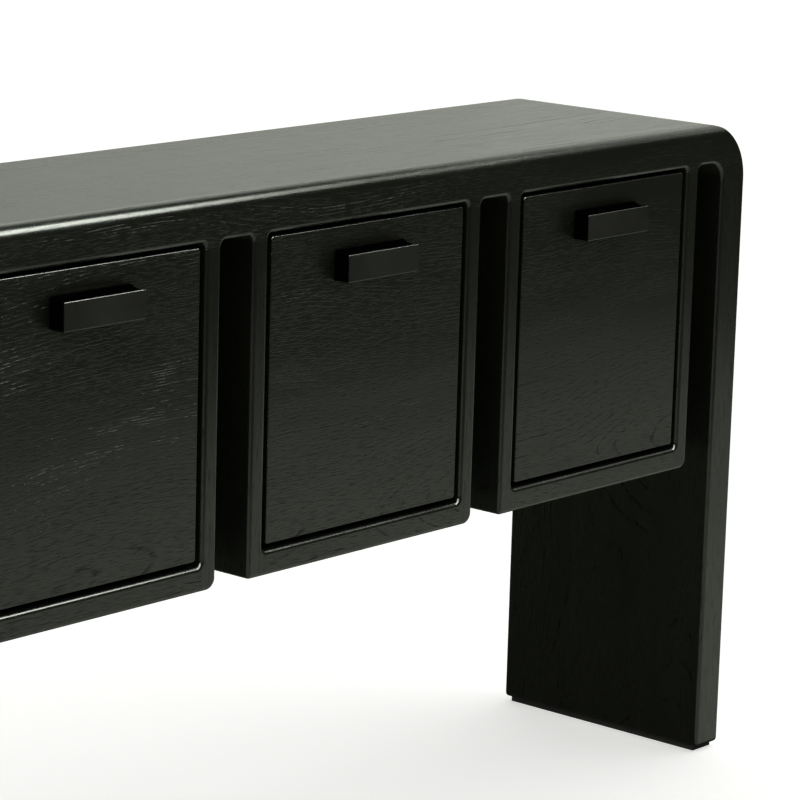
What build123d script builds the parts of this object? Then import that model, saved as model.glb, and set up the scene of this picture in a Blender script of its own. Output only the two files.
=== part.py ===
from build123d import *
import os

# A long low dresser. A thick top bends down through a rounded corner into a panel leg at each end.
# Four boxes hang from the top, with an open slot on both sides of each, and every box holds one deep
# drawer with an inset front and a block pull.
# Millimetres. X runs along the front, the front faces -Y, Z is up. The origin is on the floor, under
# the middle of the overall box (pulls included).

# Case
HEIGHT = 760.0
DEPTH = 298.0                   # front face of the case to its back
TOP_THICKNESS = 45.0
LEG_THICKNESS = 43.5
CORNER_RADIUS = 67.0            # outside of the bend between top and leg
EDGE_RADIUS = 4.5               # rounding of the front and back edges
TOP_EDGE_RADIUS = 14.5          # rounding of the top's front edge, which runs out into the bends
PAD_HEIGHT = 6.0                # strip that each leg stands on
PAD_INSET_X = 5.0
PAD_INSET_Y = 8.0

# Hanging boxes
OUTER_BOX = 343.0
INNER_BOX = 354.0
BOX_WIDTHS = [OUTER_BOX, INNER_BOX, INNER_BOX, OUTER_BOX]
SLOT = 46.5                     # open gap beside every box
BOX_UNDERSIDE = 359.5           # height above the floor
WALL = 21.5
BOX_FLOOR = 26.5
SLOT_CORNER_RADIUS = 7.0        # where a box side meets the top
BOX_RIGHT_RADIUS = 12.0         # lower right corner of each box
BOX_LEFT_RADIUS = 5.0           # lower left corner of each box
FOOT_RADIUS = 5.0               # lower corners of the legs
OPENING_RADIUS = 6.0
BACK_THICKNESS = 12.0
BACK_SETBACK = 3.0
STUB = 7.0                      # box walls that belong to the top board

# Drawers
FRONT_GAP = 6.5                 # gap left and right of a drawer front
FRONT_GAP_TOP = 4.5
FRONT_GAP_BOTTOM = 6.0
FRONT_THICKNESS = 20.0
FRONT_RECESS = 2.5              # front's face behind the case's face
FRONT_RADIUS = 3.0
FRONT_EDGE = 1.0
SIDE_THICKNESS = 12.0
SIDE_HEIGHT = 270.0
SIDE_LENGTH = 245.0
SIDE_LIFT = 8.0                 # drawer sides above the front's lower edge
BOTTOM_THICKNESS = 6.0
BOTTOM_LIFT = 9.0               # drawer bottom above the sides' lower edge
GROOVE = 6.0                    # depth of the groove that holds the bottom

# Pull
PULL_WIDTH = 108.0
PULL_HEIGHT = 29.0
PULL_REACH = 18.0               # beyond the case's face
PULL_DROP = 26.5                # from the front's top edge to the pull
PULL_SCOOP = 1.0                # dip of the finger hollow in the pull's top
PULL_HEEL = 2.5                 # rise of the pull's top where it meets the front
PULL_EDGE = 0.8
SCREW_SPACING = 64.0
SCREW_RADIUS = 2.0
SCREW_HEAD_RADIUS = 4.5
SCREW_HEAD_HEIGHT = 3.0
SCREW_BITE = 12.0
SCREW_CLEARANCE = 0.1

# Slides
SLIDE_SPACE = 13.0              # between box wall and drawer side
SLIDE_LENGTH = 235.0
SLIDE_SHEET = 1.5
SLIDE_FLANGE = 9.0
RAIL_HEIGHT = 42.0
RUNNER_HEIGHT = 30.0
SLIDE_RISE = 70.0               # slide's middle above the drawer sides' lower edge
SLIDE_START = 4.0               # behind the drawer front's back face

# Dowels
DOWEL_RADIUS = 4.0
DOWEL_LENGTH = 30.0
DOWEL_CLEARANCE = 0.1
DOWEL_IN_WALL = 12.0

WIDTH = 2 * LEG_THICKNESS + sum(BOX_WIDTHS) + (len(BOX_WIDTHS) + 1) * SLOT
FRONT_Y = PULL_REACH - (DEPTH + PULL_REACH) / 2
BACK_Y = FRONT_Y + DEPTH
UNDERSIDE = HEIGHT - TOP_THICKNESS
TOP_MIDDLE = HEIGHT - TOP_THICKNESS / 2
LEG_MIDDLE = (WIDTH - LEG_THICKNESS) / 2
JOINT_Z = UNDERSIDE - STUB
BEND_X = WIDTH / 2 - CORNER_RADIUS
BEND_Z = HEIGHT - CORNER_RADIUS
OPENING_FLOOR = BOX_UNDERSIDE + BOX_FLOOR
OPENING_HEIGHT = UNDERSIDE - OPENING_FLOOR
FRONT_FACE_Y = FRONT_Y + FRONT_RECESS
FRONT_BACK_Y = FRONT_FACE_Y + FRONT_THICKNESS
FRONT_LOW = OPENING_FLOOR + FRONT_GAP_BOTTOM
FRONT_TOP = UNDERSIDE - FRONT_GAP_TOP
SIDE_LOW = FRONT_LOW + SIDE_LIFT
BOTTOM_LOW = SIDE_LOW + BOTTOM_LIFT
PULL_TOP = FRONT_TOP - PULL_DROP
PULL_MIDDLE = PULL_TOP - PULL_HEIGHT / 2
SLIDE_Z = SIDE_LOW + SLIDE_RISE
SLIDE_Y = FRONT_BACK_Y + SLIDE_START
SIDE_INSET = WALL + SLIDE_SPACE     # from a box's outer face to the drawer's side

# Left and right face of every box
BOXES = []
for number, box_width in enumerate(BOX_WIDTHS):
    start = -WIDTH / 2 + LEG_THICKNESS + SLOT + sum(BOX_WIDTHS[:number]) + number * SLOT
    BOXES.append((start, start + box_width))


def block(x0, x1, y0, y1, z0, z1):
    """Box between two corners."""
    return Pos((x0 + x1) / 2, (y0 + y1) / 2, (z0 + z1) / 2) * Box(x1 - x0, y1 - y0, z1 - z0)


def rectangle(x0, x1, z0, z1):
    """Rectangle in front view (X, Z) between two corners."""
    return Pos((x0 + x1) / 2, (z0 + z1) / 2) * Rectangle(x1 - x0, z1 - z0)


def front_view(sketch, y, thickness):
    """Raise a sketch drawn in front view (X, Z) from depth y towards the front."""
    return extrude(Plane.XZ.offset(-y) * sketch, thickness)


def rod(x, y, z, direction, radius, length):
    """Cylinder centred on a point, along X, Y or Z."""
    turn = {"X": Rot(0, 90, 0), "Y": Rot(90, 0, 0), "Z": Rot(0, 0, 0)}[direction]
    return Pos(x, y, z) * turn * Cylinder(radius, length)


def opening(left, right):
    """Front view of the opening in the box between two outer faces."""
    place = Pos((left + right) / 2, OPENING_FLOOR + OPENING_HEIGHT / 2)
    return place * RectangleRounded(right - left - 2 * WALL, OPENING_HEIGHT, OPENING_RADIUS)


def case_outline():
    """Front view of the whole case: top, legs and box walls."""
    outline = rectangle(-WIDTH / 2, WIDTH / 2, UNDERSIDE, HEIGHT)
    outline += rectangle(-WIDTH / 2, -WIDTH / 2 + LEG_THICKNESS, PAD_HEIGHT, HEIGHT)
    outline += rectangle(WIDTH / 2 - LEG_THICKNESS, WIDTH / 2, PAD_HEIGHT, HEIGHT)
    for left, right in BOXES:
        outline += rectangle(left, right, BOX_UNDERSIDE, HEIGHT)

    box_left = [left for left, right in BOXES]
    box_right = [right for left, right in BOXES]
    leg_inner = [-WIDTH / 2 + LEG_THICKNESS, WIDTH / 2 - LEG_THICKNESS]
    leg_outer = [-WIDTH / 2, WIDTH / 2]
    rounded = [
        (leg_outer, HEIGHT, CORNER_RADIUS),
        (leg_inner, UNDERSIDE, CORNER_RADIUS - TOP_THICKNESS),
        (box_left + box_right, UNDERSIDE, SLOT_CORNER_RADIUS),
        (box_right, BOX_UNDERSIDE, BOX_RIGHT_RADIUS),
        (box_left, BOX_UNDERSIDE, BOX_LEFT_RADIUS),
        (leg_inner + leg_outer, PAD_HEIGHT, FOOT_RADIUS),
    ]
    for places, height, radius in rounded:
        corners = [
            v for v in outline.vertices()
            if abs(v.Y - height) < 0.01 and min(abs(v.X - x) for x in places) < 0.01
        ]
        outline = fillet(corners, radius)

    for left, right in BOXES:
        outline -= opening(left, right)
    return outline


def dowel_places():
    """Middle and direction of every dowel in the case's joints."""
    near, far = FRONT_Y + DEPTH * 0.25, FRONT_Y + DEPTH * 0.75
    places = []
    for y in (near, far):
        for side in (-1, 1):
            places.append((side * LEG_MIDDLE, y, BEND_Z, "Z"))
            places.append((side * BEND_X, y, TOP_MIDDLE, "X"))
        for left, right in BOXES:
            for outer, side in ((left, -1), (right, 1)):
                joint_x = outer - side * WALL
                shift = side * (DOWEL_IN_WALL - DOWEL_LENGTH / 2)
                places.append((outer - side * WALL / 2, y, JOINT_Z, "Z"))
                places.append((joint_x + shift, y, BOX_UNDERSIDE + BOX_FLOOR / 2, "X"))
    return places


def top_rounding():
    """Block around the whole case whose upper front edge is rounded, to round the case's top with."""
    body = block(-WIDTH / 2 - 1, WIDTH / 2 + 1, FRONT_Y, BACK_Y + 1, -1, HEIGHT)
    upper = body.edges().filter_by(Axis.X).sort_by(Axis.Z)[-2:]
    return fillet(upper.sort_by(Axis.Y)[0], TOP_EDGE_RADIUS)


def case_blank():
    """The case in one piece, edges rounded and dowel holes drilled, ready to be cut into boards."""
    case = front_view(case_outline(), BACK_Y, DEPTH)
    front_edges = case.faces().sort_by(Axis.Y)[0].edges()
    case = fillet(front_edges, EDGE_RADIUS)
    back_edges = case.faces().sort_by(Axis.Y)[-1].outer_wire().edges()
    case = fillet(back_edges, EDGE_RADIUS)
    case &= top_rounding()
    hole_radius = DOWEL_RADIUS + DOWEL_CLEARANCE
    hole_length = DOWEL_LENGTH + 1.0
    for x, y, z, direction in dowel_places():
        case -= rod(x, y, z, direction, hole_radius, hole_length)
    return case


def board(case, x0, x1, z0, z1):
    """One board of the case: what lies between two X and two Z values."""
    return case & block(x0, x1, -DEPTH, DEPTH, z0, z1)


def case_boards():
    case = case_blank()
    end = WIDTH / 2 + 1
    boards = {"top_panel": board(case, -BEND_X, BEND_X, JOINT_Z, HEIGHT + 1)}
    for name, side in (("left", -1), ("right", 1)):
        x0, x1 = sorted((side * BEND_X, side * end))
        boards[name + "_corner"] = board(case, x0, x1, BEND_Z, HEIGHT + 1)
        boards[name + "_leg"] = board(case, x0, x1, 0, BEND_Z)
    for i, (left, right) in enumerate(BOXES, 1):
        box = f"box_{i}_"
        boards[box + "left_side"] = board(case, left, left + WALL, 0, JOINT_Z)
        boards[box + "right_side"] = board(case, right - WALL, right, 0, JOINT_Z)
        boards[box + "bottom"] = board(case, left + WALL, right - WALL, 0, JOINT_Z)
    return boards


def box_back(left, right):
    return front_view(opening(left, right), BACK_Y - BACK_SETBACK, BACK_THICKNESS)


def foot_pad(side):
    x = side * LEG_MIDDLE
    half = LEG_THICKNESS / 2 - PAD_INSET_X
    return block(x - half, x + half, FRONT_Y + PAD_INSET_Y, BACK_Y - PAD_INSET_Y, 0, PAD_HEIGHT)


def joint_dowels():
    return [rod(x, y, z, way, DOWEL_RADIUS, DOWEL_LENGTH) for x, y, z, way in dowel_places()]


def drawer_front(left, right):
    x = (left + right) / 2
    width = right - left - 2 * (WALL + FRONT_GAP)
    height = FRONT_TOP - FRONT_LOW
    outline = Pos(x, FRONT_LOW + height / 2) * RectangleRounded(width, height, FRONT_RADIUS)
    front = front_view(outline, FRONT_BACK_Y, FRONT_THICKNESS)
    front = fillet(front.faces().sort_by(Axis.Y)[0].edges(), FRONT_EDGE)
    for side in (-1, 1):
        screw_x = x + side * SCREW_SPACING / 2
        hole_y = FRONT_BACK_Y - FRONT_THICKNESS / 2
        hole_radius = SCREW_RADIUS + SCREW_CLEARANCE
        front -= rod(screw_x, hole_y, PULL_MIDDLE, "Y", hole_radius, FRONT_THICKNESS + 2)
    return front - drawer_bottom(left, right)


def drawer_sides(left, right):
    """Left and right side of the drawer, grooved for its bottom."""
    left, right = left + SIDE_INSET, right - SIDE_INSET
    rear = FRONT_BACK_Y + SIDE_LENGTH
    top = SIDE_LOW + SIDE_HEIGHT
    floor = drawer_bottom(left - SIDE_INSET, right + SIDE_INSET)
    left_side = block(left, left + SIDE_THICKNESS, FRONT_BACK_Y, rear, SIDE_LOW, top)
    right_side = block(right - SIDE_THICKNESS, right, FRONT_BACK_Y, rear, SIDE_LOW, top)
    return left_side - floor, right_side - floor


def drawer_back(left, right):
    inset = SIDE_INSET + SIDE_THICKNESS
    rear = FRONT_BACK_Y + SIDE_LENGTH
    low = BOTTOM_LOW + BOTTOM_THICKNESS
    top = SIDE_LOW + SIDE_HEIGHT
    return block(left + inset, right - inset, rear - SIDE_THICKNESS, rear, low, top)


def drawer_bottom(left, right):
    inset = SIDE_INSET + SIDE_THICKNESS - GROOVE
    start = FRONT_BACK_Y - GROOVE
    rear = FRONT_BACK_Y + SIDE_LENGTH
    top = BOTTOM_LOW + BOTTOM_THICKNESS
    return block(left + inset, right - inset, start, rear, BOTTOM_LOW, top)


def pull(x):
    """Block pull, drawn as its end view and extruded along X; its top is hollowed for the fingers."""
    reach_y = FRONT_Y - PULL_REACH
    depth = FRONT_FACE_Y - reach_y
    low = PULL_TOP - PULL_HEIGHT
    lip = (reach_y, PULL_TOP)
    hollow = (reach_y + depth * 0.55, PULL_TOP - PULL_SCOOP)
    heel = (FRONT_FACE_Y, PULL_TOP + PULL_HEEL)
    outline = Polyline(heel, (FRONT_FACE_Y, low), (reach_y, low), lip)
    outline += ThreePointArc(lip, hollow, heel)
    end_plane = Plane(origin=(x - PULL_WIDTH / 2, 0, 0), x_dir=(0, 1, 0), z_dir=(1, 0, 0))
    body = extrude(end_plane * make_face(outline.edges()), PULL_WIDTH)
    soft = [e for e in body.edges() if e.center().Y < FRONT_FACE_Y - 0.1]
    body = fillet(soft, PULL_EDGE)
    hole_length = SCREW_BITE + 1.0
    for side in (-1, 1):
        hole_y = FRONT_FACE_Y - hole_length / 2
        hole_radius = SCREW_RADIUS + SCREW_CLEARANCE
        body -= rod(x + side * SCREW_SPACING / 2, hole_y, PULL_MIDDLE, "Y", hole_radius, hole_length)
    return body


def pull_screws(x):
    screws = []
    for side in (-1, 1):
        screw_x = x + side * SCREW_SPACING / 2
        length = FRONT_THICKNESS + SCREW_BITE
        shank = rod(screw_x, FRONT_BACK_Y - length / 2, PULL_MIDDLE, "Y", SCREW_RADIUS, length)
        head_y = FRONT_BACK_Y + SCREW_HEAD_HEIGHT / 2
        head = rod(screw_x, head_y, PULL_MIDDLE, "Y", SCREW_HEAD_RADIUS, SCREW_HEAD_HEIGHT)
        head = fillet(head.edges().sort_by(Axis.Y)[-1:], 1.0)
        slot = block(screw_x - 3, screw_x + 3, head_y, head_y + 2, PULL_MIDDLE - 0.5, PULL_MIDDLE + 0.5)
        cross = block(screw_x - 0.5, screw_x + 0.5, head_y, head_y + 2, PULL_MIDDLE - 3, PULL_MIDDLE + 3)
        screws.append(shank + head - slot - cross)
    return screws


def channel(base_x, side, height):
    """Steel channel along Y: its web stands on base_x and its two flanges point along side in X."""
    web_x = base_x + side * SLIDE_SHEET
    tip_x = base_x + side * SLIDE_FLANGE
    x0, x1 = sorted((base_x, tip_x))
    profile = block(x0, x1, SLIDE_Y, SLIDE_Y + SLIDE_LENGTH, SLIDE_Z - height / 2, SLIDE_Z + height / 2)
    x0, x1 = sorted((web_x, tip_x + side))
    inner = height / 2 - SLIDE_SHEET
    hollow = block(x0, x1, SLIDE_Y - 1, SLIDE_Y + SLIDE_LENGTH + 1, SLIDE_Z - inner, SLIDE_Z + inner)
    return profile - hollow


def slide_rails(left, right):
    """The two channels fixed to the inside of a box."""
    return [channel(left + WALL, 1, RAIL_HEIGHT), channel(right - WALL, -1, RAIL_HEIGHT)]


def slide_runners(left, right):
    """The two channels fixed to a drawer's sides, which run inside the rails."""
    left, right = left + SIDE_INSET, right - SIDE_INSET
    return [channel(left, -1, RUNNER_HEIGHT), channel(right, 1, RUNNER_HEIGHT)]


nodes = case_boards()
nodes["left_foot_pad"] = foot_pad(-1)
nodes["right_foot_pad"] = foot_pad(1)
nodes["joint_dowels"] = joint_dowels()
for number, (left, right) in enumerate(BOXES, 1):
    drawer = f"drawer_{number}_"
    centre = (left + right) / 2
    left_side, right_side = drawer_sides(left, right)
    nodes[f"box_{number}_back"] = box_back(left, right)
    nodes[f"slide_rails_{number}"] = slide_rails(left, right)
    nodes[f"slide_runners_{number}"] = slide_runners(left, right)
    nodes[drawer + "front"] = drawer_front(left, right)
    nodes[drawer + "left_side"] = left_side
    nodes[drawer + "right_side"] = right_side
    nodes[drawer + "back"] = drawer_back(left, right)
    nodes[drawer + "bottom"] = drawer_bottom(left, right)
    nodes[drawer + "pull"] = pull(centre)
    nodes[drawer + "pull_screws"] = pull_screws(centre)

os.makedirs("parts", exist_ok=True)
for name, piece in nodes.items():
    solids = piece if isinstance(piece, list) else piece.solids()
    shape = solids[0] if len(solids) == 1 else Compound(solids)
    export_step(shape, f"parts/{name}.step")
print(len(nodes), "nodes")
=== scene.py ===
import math

import bpy
from mathutils import Matrix, Vector


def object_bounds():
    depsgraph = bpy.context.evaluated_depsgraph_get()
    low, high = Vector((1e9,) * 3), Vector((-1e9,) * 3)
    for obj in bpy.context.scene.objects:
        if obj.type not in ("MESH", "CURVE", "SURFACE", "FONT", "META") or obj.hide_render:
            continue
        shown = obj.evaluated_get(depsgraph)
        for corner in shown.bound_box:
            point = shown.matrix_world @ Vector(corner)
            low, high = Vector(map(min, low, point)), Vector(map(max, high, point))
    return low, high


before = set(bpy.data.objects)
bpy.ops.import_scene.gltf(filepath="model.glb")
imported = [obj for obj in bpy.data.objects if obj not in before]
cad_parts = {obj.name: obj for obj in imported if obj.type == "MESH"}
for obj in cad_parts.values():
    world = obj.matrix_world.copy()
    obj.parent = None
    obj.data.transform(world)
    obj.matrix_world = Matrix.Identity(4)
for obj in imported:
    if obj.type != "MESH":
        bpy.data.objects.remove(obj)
cad_low, cad_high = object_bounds()

# A long low dresser in black-stained, open-grain oak. The file model.glb holds every shape; this script
# adds the materials, the floor, the lights and the camera. Metres, with the front facing -Y.

# ---------------------------------------------------------------- shader helpers


class Shader:
    """A material's node tree, with one short method for each kind of node used here."""

    def __init__(self, tree):
        self.tree = tree

    def node(self, kind, **settings):
        made = self.tree.nodes.new(kind)
        for name, value in settings.items():
            setattr(made, name, value)
        return made

    def plug(self, socket, value):
        if isinstance(value, bpy.types.NodeSocket):
            self.tree.links.new(value, socket)
        else:
            socket.default_value = value

    def math(self, operation, *values):
        made = self.node("ShaderNodeMath", operation=operation)
        for socket, value in zip(made.inputs, values):
            self.plug(socket, value)
        return made.outputs[0]

    def combine(self, x, y, z):
        made = self.node("ShaderNodeCombineXYZ")
        for socket, value in zip(made.inputs, (x, y, z)):
            self.plug(socket, value)
        return made.outputs[0]

    def separate(self, vector):
        made = self.node("ShaderNodeSeparateXYZ")
        self.plug(made.inputs[0], vector)
        return made.outputs

    def vector_math(self, operation, first, second):
        made = self.node("ShaderNodeVectorMath", operation=operation)
        self.plug(made.inputs[0], first)
        self.plug(made.inputs[1], second)
        return made.outputs[0]

    def noise(self, point, waves, detail=2.0, roughness=0.5):
        """Noise from 0 to 1, with a number of waves per metre along each axis."""
        made = self.node("ShaderNodeTexNoise")
        self.plug(made.inputs["Vector"], self.vector_math("MULTIPLY", point, waves))
        made.inputs["Scale"].default_value = 1.0
        made.inputs["Detail"].default_value = detail
        made.inputs["Roughness"].default_value = roughness
        return made.outputs["Fac"]

    def remap(self, value, low, high, to_low=0.0, to_high=1.0, smooth=True):
        """Takes low..high to to_low..to_high, and stays at the end values outside."""
        made = self.node("ShaderNodeMapRange")
        made.interpolation_type = "SMOOTHSTEP" if smooth else "LINEAR"
        self.plug(made.inputs["Value"], value)
        made.inputs["From Min"].default_value = low
        made.inputs["From Max"].default_value = high
        made.inputs["To Min"].default_value = to_low
        made.inputs["To Max"].default_value = to_high
        return made.outputs[0]

    def blend(self, factor, first, second):
        """Colour between two colours."""
        made = self.node("ShaderNodeMix", data_type="RGBA")
        self.plug(made.inputs["Factor"], factor)
        self.plug(made.inputs["A"], first)
        self.plug(made.inputs["B"], second)
        return made.outputs["Result"]

    def facing(self):
        """The direction that the surface faces, as X, Y and Z."""
        return self.separate(self.node("ShaderNodeNewGeometry").outputs["Normal"])

    def place(self):
        """The point of the piece that is being coloured; it moves with the piece."""
        return self.node("ShaderNodeTexCoord").outputs["Object"]


def new_material(name):
    """A material, its node helper and its Principled shader."""
    material = bpy.data.materials.new(name)
    material.use_nodes = True
    shader = Shader(material.node_tree)
    surface = material.node_tree.nodes["Principled BSDF"]
    return material, shader, surface


def roughen(shader, surface, height, depth):
    """Small relief: height from 0 to 1, depth in metres."""
    bump = shader.node("ShaderNodeBump")
    bump.inputs["Strength"].default_value = 1.0
    shader.plug(bump.inputs["Distance"], depth)
    shader.plug(bump.inputs["Height"], height)
    shader.plug(surface.inputs["Normal"], bump.outputs[0])


# ---------------------------------------------------------------- oak grain

RINGS_PER_METRE = 240.0
RING_DRIFT = 5.0                # by how many rings their spacing drifts
# Waves per metre along the grain and in the two directions across it
SWAY_WAVES = (2.0, 4.0, 4.0)
WIGGLE_WAVES = (11.0, 16.0, 16.0)
DASH_WAVES = (65.0, 850.0, 850.0)
BREAK_WAVES = (30.0, 170.0, 170.0)
ZONE_WAVES = (5.0, 14.0, 14.0)
DRIFT_WAVES = (0.0, 30.0, 0.0)
FIBRE_WAVES = (45.5, 1190.0, 1190.0)
PATCH_WAVES = (4.0, 26.0, 26.0)
SWAY = 0.1                      # how far the slow and the quick waves push the rings, in metres
WIGGLE = 0.005
FINE_PORES = 0.5                # strength of the fine pores between the rings


def trunk_radius(shader, point):
    """Distance from the tree's heart, bent by slow waves that draw the rings out into long flames."""
    across, through = shader.separate(point)[1:]
    sway = shader.math("SUBTRACT", shader.noise(point, SWAY_WAVES, 1.0), 0.5)
    wiggle = shader.math("SUBTRACT", shader.noise(point, WIGGLE_WAVES), 0.5)
    shift = shader.math("ADD", shader.math("MULTIPLY", sway, SWAY),
                        shader.math("MULTIPLY", wiggle, WIGGLE))
    squares = shader.math("ADD", shader.math("POWER", across, 2.0), shader.math("POWER", through, 2.0))
    return shader.math("ADD", shader.math("SQRT", squares), shift)


def early_wood(shader, radius):
    """1 in the porous band where each ring starts, 0 in the rest of the ring. Rings vary in width."""
    uneven = shader.noise(shader.combine(0.0, radius, 0.0), DRIFT_WAVES)
    rings = shader.math("MULTIPLY", radius, RINGS_PER_METRE)
    drift = shader.math("MULTIPLY", uneven, RING_DRIFT)
    phase = shader.math("FRACT", shader.math("ADD", rings, drift))
    rise = shader.remap(phase, 0.0, 0.08)
    return shader.math("MULTIPLY", rise, shader.remap(phase, 0.1, 0.26, 1.0, 0.0))


def oak_group():
    """Node group that draws open-grain oak. P is a point of the board in metres: X along the grain,
    Y and Z across it, with the tree's heart along X."""
    tree = bpy.data.node_groups.new("oak_grain", "ShaderNodeTree")
    tree.interface.new_socket("P", in_out="INPUT", socket_type="NodeSocketVector")
    for name in ("Pores", "Fibre", "Patch"):
        tree.interface.new_socket(name, in_out="OUTPUT", socket_type="NodeSocketFloat")
    shader = Shader(tree)
    point = shader.node("NodeGroupInput").outputs["P"]
    leave = shader.node("NodeGroupOutput")

    # Pores: short dashes along the grain, crowded where each ring starts, and fine ones in between
    dashes = shader.noise(point, DASH_WAVES, 1.0, 0.4)
    breaks = shader.remap(shader.noise(point, BREAK_WAVES), 0.36, 0.56)
    zone = shader.remap(shader.noise(point, ZONE_WAVES, 1.0), 0.36, 0.6, 0.3, 1.0)
    early = early_wood(shader, trunk_radius(shader, point))
    lines = shader.math("MULTIPLY", shader.math("MULTIPLY", early, breaks), zone)
    crowded = shader.math("MULTIPLY", lines, shader.remap(dashes, 0.36, 0.56, 0.1, 1.0))
    fine = shader.math("MULTIPLY", shader.remap(dashes, 0.53, 0.7), FINE_PORES)

    shader.plug(leave.inputs["Pores"], shader.math("MAXIMUM", crowded, fine))
    shader.plug(leave.inputs["Fibre"], shader.noise(point, FIBRE_WAVES, 2.0, 0.6))
    shader.plug(leave.inputs["Patch"], shader.noise(point, PATCH_WAVES, 3.0, 0.55))
    return tree


# ---------------------------------------------------------------- materials

STAIN = (0.0075, 0.009, 0.0056, 1.0)
STAIN_PORE = (0.0015, 0.0017, 0.0014, 1.0)
LACQUER_IOR = 1.45
PATCHES = (0.3, 0.7)            # spread of the noise that makes lacquer and stain drift
SATIN = (0.18, 0.23)            # roughness of the lacquer, lowest and highest
PORE_ROUGHNESS = 0.15           # added in the pores
OPEN_GLOSS = 0.5
PORE_GLOSS = 0.2
PORE_DEPTH = 0.00013            # relief of upright faces, of rounded edges and of flat tops
PORE_DEPTH_EDGE = 0.000008
PORE_DEPTH_TOP = 0.00007
# How far a face looks upward, from 0 to 1, where one kind of face gives way to the next
UPRIGHT_TO_EDGE = (0.02, 0.25)
EDGE_TO_TOP = (0.97, 1.0)
FLAT_TOP = (0.985, 0.995)
UPPER_EDGE = (0.15, 0.4)
FIBRE_HEIGHT = 0.06             # relief of the fibre, as a share of the pores' depth
TOP_STRETCH = 0.3               # under 1, this draws the grain of flat tops out lengthwise
END_RELIEF = 0.5                # the relief gets weaker from the middle to the right end
MIDDLE_RELIEF = 1.15
END_X = 0.75
PAINTED_SHADE_REACH = 0.02            # how near another piece must be for a drawer front's gloss to be dulled, as painted shade
PAINTED_SHADE_RANGE = (0.35, 0.75)          # openness of a corner where the painted shade dulls the gloss most, and of one where it doesn't
PAINTED_EDGE_HIGHLIGHT = 1.6                # painted highlight: gloss on a drawer front's upper edge is raised up to this factor
PAINTED_SHADE_BLACK = (0.001, 0.001, 0.001, 1.0)
# Painted shade colour for the pull's scooped top and its ends
PAINTED_SHADE_START = 0.0009           # painted shade: the pull's top and ends turn near-black with no gloss from between these depths behind its front
PAINTED_SHADE_END = 0.0014
PULL_GLOSS = 0.6
# Painted highlight: the pull's upper edge is given more gloss than its face
LIP_PAINTED_HIGHLIGHT = 1.1
PULL_LIP = (0.1, 0.4)           # how far the pull's face looks upward where its upper edge starts
GRAIN_STEP = 1.37               # how far apart in the tree neighbouring boards are cut
PLANK_HEART = (-0.4, 0.2)       # where the tree's heart lies from the long boards and the uprights
UPRIGHT_HEART = (0.0, 0.09)
UPRIGHT_RELIEF = 0.5

OAK = oak_group()


def board_point(shader, along, offset, heart):
    """The board's own coordinates: the grain's axis first, then shifted off the tree's heart."""
    x, y, z = shader.separate(shader.place())
    turned = {"X": (x, z, y), "Z": (z, x, y)}[along]
    return shader.vector_math("ADD", shader.combine(*turned), (offset, heart[0], heart[1]))


def oak_gloss(name, shader, pores, patch, upward):
    """Lacquer's gloss: weaker in the pores. On drawer fronts it is also dulled in the corners beside the
    pull and the frame, as painted shade, and raised on their upper edges, as a painted highlight."""
    gloss = shader.math("MULTIPLY", shader.remap(pores, 0.0, 1.0, OPEN_GLOSS, PORE_GLOSS),
                        shader.remap(patch, *PATCHES, 0.9, 1.05))
    if not name.startswith("drawer"):
        return gloss
    # Painted shade: the gloss is dulled where the ambient-occlusion node finds another piece near
    corner = shader.node("ShaderNodeAmbientOcclusion", samples=6)
    corner.inputs["Distance"].default_value = PAINTED_SHADE_REACH
    # Painted highlight: the upper edges are kept out of the painted shade, and their gloss is raised
    clear = shader.math("MAXIMUM", shader.remap(corner.outputs["AO"], *PAINTED_SHADE_RANGE),
                        shader.remap(upward, *UPPER_EDGE))
    clear = shader.math("MULTIPLY", clear, shader.remap(upward, *UPPER_EDGE, 1.0, PAINTED_EDGE_HIGHLIGHT))
    return shader.math("MULTIPLY", clear, gloss)


def oak_depth(shader, upward, relief):
    """Depth of the relief: full on upright faces, nearly none on rounded edges, some on flat tops."""
    upright, edge, top = (relief * depth for depth in (PORE_DEPTH, PORE_DEPTH_EDGE, PORE_DEPTH_TOP))
    depth = shader.math("ADD", shader.remap(upward, *UPRIGHT_TO_EDGE, upright, edge),
                        shader.remap(upward, *EDGE_TO_TOP, 0.0, top))
    x = shader.separate(shader.place())[0]
    return shader.math("MULTIPLY", depth, shader.remap(x, 0.0, END_X, MIDDLE_RELIEF, END_RELIEF))


def black_oak(name, along, offset, heart, relief=1.0):
    """Open-grain oak stained black, under a thin satin lacquer that sinks into the pores."""
    material, shader, surface = new_material(name)
    upward = shader.facing()[2]
    stretch = shader.combine(shader.remap(upward, *FLAT_TOP, 1.0, TOP_STRETCH), 1.0, 1.0)
    point = board_point(shader, along, offset, heart)
    grain = shader.node("ShaderNodeGroup", node_tree=OAK)
    shader.plug(grain.inputs["P"], shader.vector_math("MULTIPLY", point, stretch))
    pores, fibre, patch = (grain.outputs[n] for n in ("Pores", "Fibre", "Patch"))

    shader.plug(surface.inputs["Base Color"], shader.blend(pores, STAIN, STAIN_PORE))
    rough = shader.math("ADD", shader.remap(patch, *PATCHES, *SATIN),
                        shader.math("MULTIPLY", pores, PORE_ROUGHNESS))
    shader.plug(surface.inputs["Roughness"], rough)
    surface.inputs["IOR"].default_value = LACQUER_IOR
    shader.plug(surface.inputs["Specular IOR Level"], oak_gloss(name, shader, pores, patch, upward))
    height = shader.math("SUBTRACT", shader.math("MULTIPLY", fibre, FIBRE_HEIGHT), pores)
    roughen(shader, surface, height, oak_depth(shader, upward, relief))
    return material


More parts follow.
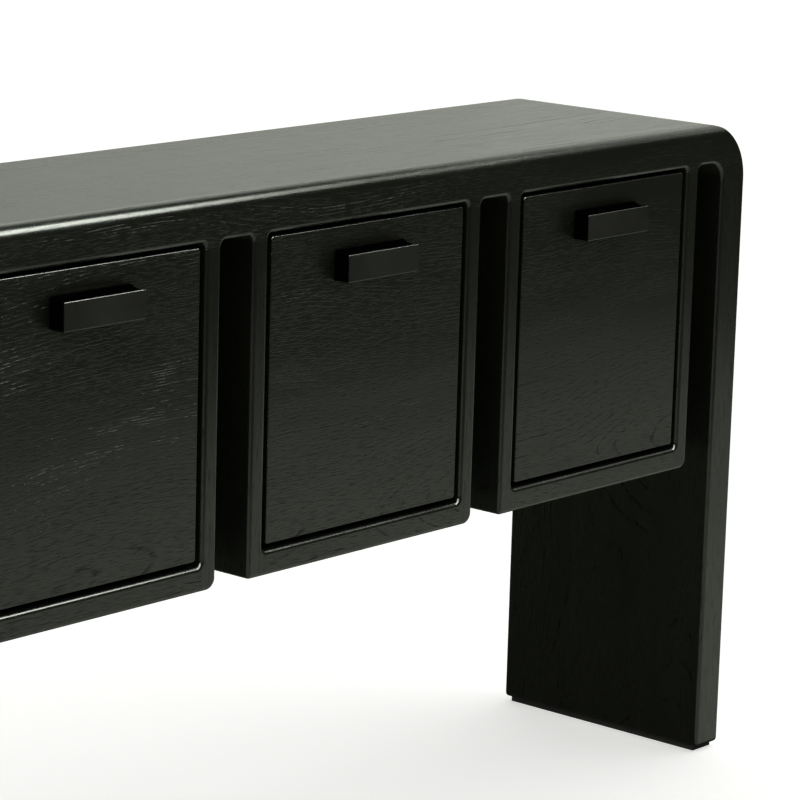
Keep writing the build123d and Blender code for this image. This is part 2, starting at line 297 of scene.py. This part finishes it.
def plain_material(name, colour, roughness, metallic=0.0):
    """A fine-textured finish: colour and roughness drift a little, and a small bump breaks up the
    gloss. Gives the material, its node helper, its Principled shader and its colour socket."""
    material, shader, surface = new_material(name)
    patch = shader.noise(shader.place(), (18.0, 18.0, 18.0), 3.0, 0.6)
    darker = tuple(0.82 * c for c in colour) + (1.0,)
    tone = shader.blend(patch, darker, colour + (1.0,))
    shader.plug(surface.inputs["Base Color"], tone)
    rough = shader.remap(patch, *PATCHES, roughness - 0.03, roughness + 0.03)
    shader.plug(surface.inputs["Roughness"], rough)
    surface.inputs["Metallic"].default_value = metallic
    surface.inputs["IOR"].default_value = LACQUER_IOR
    roughen(shader, surface, shader.noise(shader.place(), (900.0, 900.0, 900.0)), 0.00003)
    return material, shader, surface, tone


def pull_material():
    """Black block pull: its front and the softened edges round it are glossy, the upper edge with a
    painted highlight, and the scooped top and the ends carry painted shade: near-black, with no gloss."""
    front = min(v.co.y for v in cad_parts["drawer_1_pull"].data.vertices)
    material, shader, surface, tone = plain_material("pull_black", (0.011, 0.012, 0.0095), 0.24)
    y = shader.separate(shader.place())[1]
    # Painted shade mask: 1 on the pull's front and its edges, 0 on the top and ends behind them
    unshaded_front = shader.remap(y, front + PAINTED_SHADE_START, front + PAINTED_SHADE_END, 1.0, 0.0)
    # Painted highlight: gloss rises from the pull's face to its upper edge
    gloss = shader.remap(shader.facing()[2], *PULL_LIP, PULL_GLOSS, LIP_PAINTED_HIGHLIGHT)
    shader.plug(surface.inputs["Specular IOR Level"], shader.math("MULTIPLY", unshaded_front, gloss))
    shader.plug(surface.inputs["Base Color"], shader.blend(unshaded_front, PAINTED_SHADE_BLACK, tone))
    return material


def dress(node, material):
    """Gives a CAD node its material."""
    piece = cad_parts[node]
    for slot in piece.material_slots:
        slot.material = material


def dress_all():
    pull = pull_material()
    pad = plain_material("pad_black", (0.01, 0.01, 0.01), 0.6)[0]
    pale = plain_material("pale_wood", (0.55, 0.4, 0.25), 0.45)[0]
    steel = plain_material("steel", (0.55, 0.55, 0.56), 0.35, 1.0)[0]
    for number, node in enumerate(sorted(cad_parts), 1):
        offset = number * GRAIN_STEP
        if "foot_pad" in node:
            dress(node, pad)
        elif "pull_screws" in node or "slide_" in node:
            dress(node, steel)
        elif "pull" in node:
            dress(node, pull)
        elif "dowels" in node:
            dress(node, pale)
        elif node.startswith("drawer_") and not node.endswith("front"):
            dress(node, pale)
        elif node.endswith(("_side", "_leg")):
            dress(node, black_oak(node + "_oak", "Z", offset, UPRIGHT_HEART, UPRIGHT_RELIEF))
        else:
            dress(node, black_oak(node + "_oak", "X", offset, PLANK_HEART))


dress_all()

# ---------------------------------------------------------------- floor

FLOOR_REACH = 60.0              # far enough for the floor to meet the background
FLOOR_GLOW = 0.62


def add_floor():
    """Pale paper floor under the CAD box. It glows a little, so only the shadow stands out from it."""
    mesh = bpy.data.meshes.new("floor")
    ends = ((-1, -1), (1, -1), (1, 1), (-1, 1))
    corners = [(x * FLOOR_REACH, y * FLOOR_REACH, cad_low.z) for x, y in ends]
    mesh.from_pydata(corners, [], [(0, 1, 2, 3)])
    floor = bpy.data.objects.new("floor", mesh)
    bpy.context.scene.collection.objects.link(floor)
    material, _, surface = new_material("floor_paper")
    surface.inputs["Base Color"].default_value = (0.8, 0.8, 0.79, 1)
    surface.inputs["Roughness"].default_value = 0.9
    surface.inputs["Specular IOR Level"].default_value = 0.0
    surface.inputs["Emission Color"].default_value = (1.0, 1.0, 0.98, 1)
    surface.inputs["Emission Strength"].default_value = FLOOR_GLOW
    floor.data.materials.append(material)
    floor.visible_glossy = False


# ---------------------------------------------------------------- lights

STUDIO_TINT = (0.95, 1.0, 0.89)
FLOOR_TINT = (0.92, 1.0, 0.84)
SOFTBOX_PLACE = (-2.0, -2.52, 3.97)
SOFTBOX_AIM = (-2.0, -0.14, 0.76)
SOFTBOX_SIZE = (12.0, 2.2)
SOFTBOX_RADIANCE = 23.0
WALL_Y = 7.0
WALL_HEIGHT = 5.0
# Left end, right end and radiance: the wall gets brighter to the right, and the floor darker
WALL_PANELS = ((-12.0, 6.4, 0.49), (6.4, 7.2, 0.53), (7.2, 8.0, 0.57), (8.0, 9.0, 0.6), (9.0, 14.0, 0.68))
FLOOR_PANELS = ((-2.6, 1.7, 0.74), (1.7, 2.9, 0.58))
FLOOR_PANEL_Y = -0.95
FLOOR_PANEL_Z = 0.002
FLOOR_PANEL_DEPTH = 1.6
CEILING_PLACE = (7.73, 3.25, 5.0)
CEILING_AIM = (7.73, 3.25, 0.0)
CEILING_SIZE = (14.0, 8.0)
CEILING_RADIANCE = 1.5
CEILING_LEVEL = (0.636, -0.771, 0)
SUN_DIRECTION = (-0.75, 0.0, -0.66)
SUN_WIDTH = 110                 # degrees: wide, for a soft shadow
SUN_STRENGTH = 2.4
ROOM_IN_GLOSS = 0.038           # brightness of the room where no light is reflected


def area_light(name, place, toward, size, radiance, level=(1, 0, 0), colour=STUDIO_TINT):
    """A rectangular light seen only in reflections, by the brightness of its face. Its width lies
    along level."""
    light = bpy.data.lights.new(name, "AREA")
    light.shape = "RECTANGLE"
    light.size, light.size_y = size
    light.energy = radiance * math.pi * size[0] * size[1]
    light.color = colour
    lamp = bpy.data.objects.new(name, light)
    bpy.context.scene.collection.objects.link(lamp)
    shine = (Vector(toward) - Vector(place)).normalized()
    level = Vector(level).normalized()
    turn = Matrix((level, level.cross(shine), -shine)).transposed()
    lamp.matrix_world = Matrix.Translation(place) @ turn.to_4x4()
    lamp.visible_camera = False
    lamp.visible_diffuse = False


def add_lights():
    # Softbox overhead and in front
    area_light("softbox", SOFTBOX_PLACE, SOFTBOX_AIM, SOFTBOX_SIZE, SOFTBOX_RADIANCE)
    # White wall behind, and the ceiling that runs forward from it
    for left, right, radiance in WALL_PANELS:
        x, z = (left + right) / 2, WALL_HEIGHT / 2
        area_light("wall", (x, WALL_Y, z), (x, 0, z), (right - left, WALL_HEIGHT), radiance)
    area_light("ceiling", CEILING_PLACE, CEILING_AIM, CEILING_SIZE, CEILING_RADIANCE, CEILING_LEVEL)
    # Bright floor in front
    for left, right, radiance in FLOOR_PANELS:
        x, size = (left + right) / 2, (right - left, FLOOR_PANEL_DEPTH)
        area_light("bounce", (x, FLOOR_PANEL_Y, FLOOR_PANEL_Z), (x, FLOOR_PANEL_Y, 1.0), size, radiance,
                   colour=FLOOR_TINT)
    # Soft light from the right, which casts the shadows on the floor
    sun = bpy.data.lights.new("side", "SUN")
    sun.energy = SUN_STRENGTH
    sun.angle = math.radians(SUN_WIDTH)
    lamp = bpy.data.objects.new("side", sun)
    bpy.context.scene.collection.objects.link(lamp)
    lamp.rotation_mode = "QUATERNION"
    lamp.rotation_quaternion = Vector(SUN_DIRECTION).to_track_quat("-Z", "Y")
    lamp.visible_glossy = False


def add_world():
    """White background for the camera, and a dim greenish room for reflections."""
    world = bpy.data.worlds.new("studio")
    bpy.context.scene.world = world
    world.use_nodes = True
    shader = Shader(world.node_tree)
    background = world.node_tree.nodes["Background"]
    seen = shader.node("ShaderNodeLightPath").outputs["Is Camera Ray"]
    strength = shader.remap(seen, 0.0, 1.0, ROOM_IN_GLOSS, 1.0, smooth=False)
    shader.plug(background.inputs["Strength"], strength)
    colour = shader.blend(seen, (0.92, 1.0, 0.73, 1.0), (1.0, 1.0, 0.98, 1.0))
    shader.plug(background.inputs["Color"], colour)


# ---------------------------------------------------------------- camera

CAMERA_PLACE = (-2.5694, -2.5770, 1.3197)
CAMERA_YAW = 49.181             # degrees from +Y towards +X
CAMERA_PITCH = 12.187           # degrees below the horizon
CAMERA_ROLL = 1.662
CAMERA_LENS = 162.62            # millimetres on a 36 mm sensor


def add_camera():
    yaw, pitch, roll = (math.radians(a) for a in (CAMERA_YAW, CAMERA_PITCH, CAMERA_ROLL))
    ahead = Vector((math.sin(yaw) * math.cos(pitch), math.cos(yaw) * math.cos(pitch), -math.sin(pitch)))
    right = Vector((math.cos(yaw), -math.sin(yaw), 0))
    up = right.cross(ahead)
    right, up = (math.cos(roll) * right + math.sin(roll) * up,
                 math.cos(roll) * up - math.sin(roll) * right)
    data = bpy.data.cameras.new("camera")
    data.lens = CAMERA_LENS
    data.sensor_width = 36.0
    data.clip_start, data.clip_end = 0.1, 200.0
    camera = bpy.data.objects.new("camera", data)
    bpy.context.scene.collection.objects.link(camera)
    turn = Matrix((right, up, -ahead)).transposed()
    camera.matrix_world = Matrix.Translation(CAMERA_PLACE) @ turn.to_4x4()
    bpy.context.scene.camera = camera


add_floor()
add_lights()
add_world()
add_camera()
bpy.context.scene.view_settings.view_transform = "Standard"
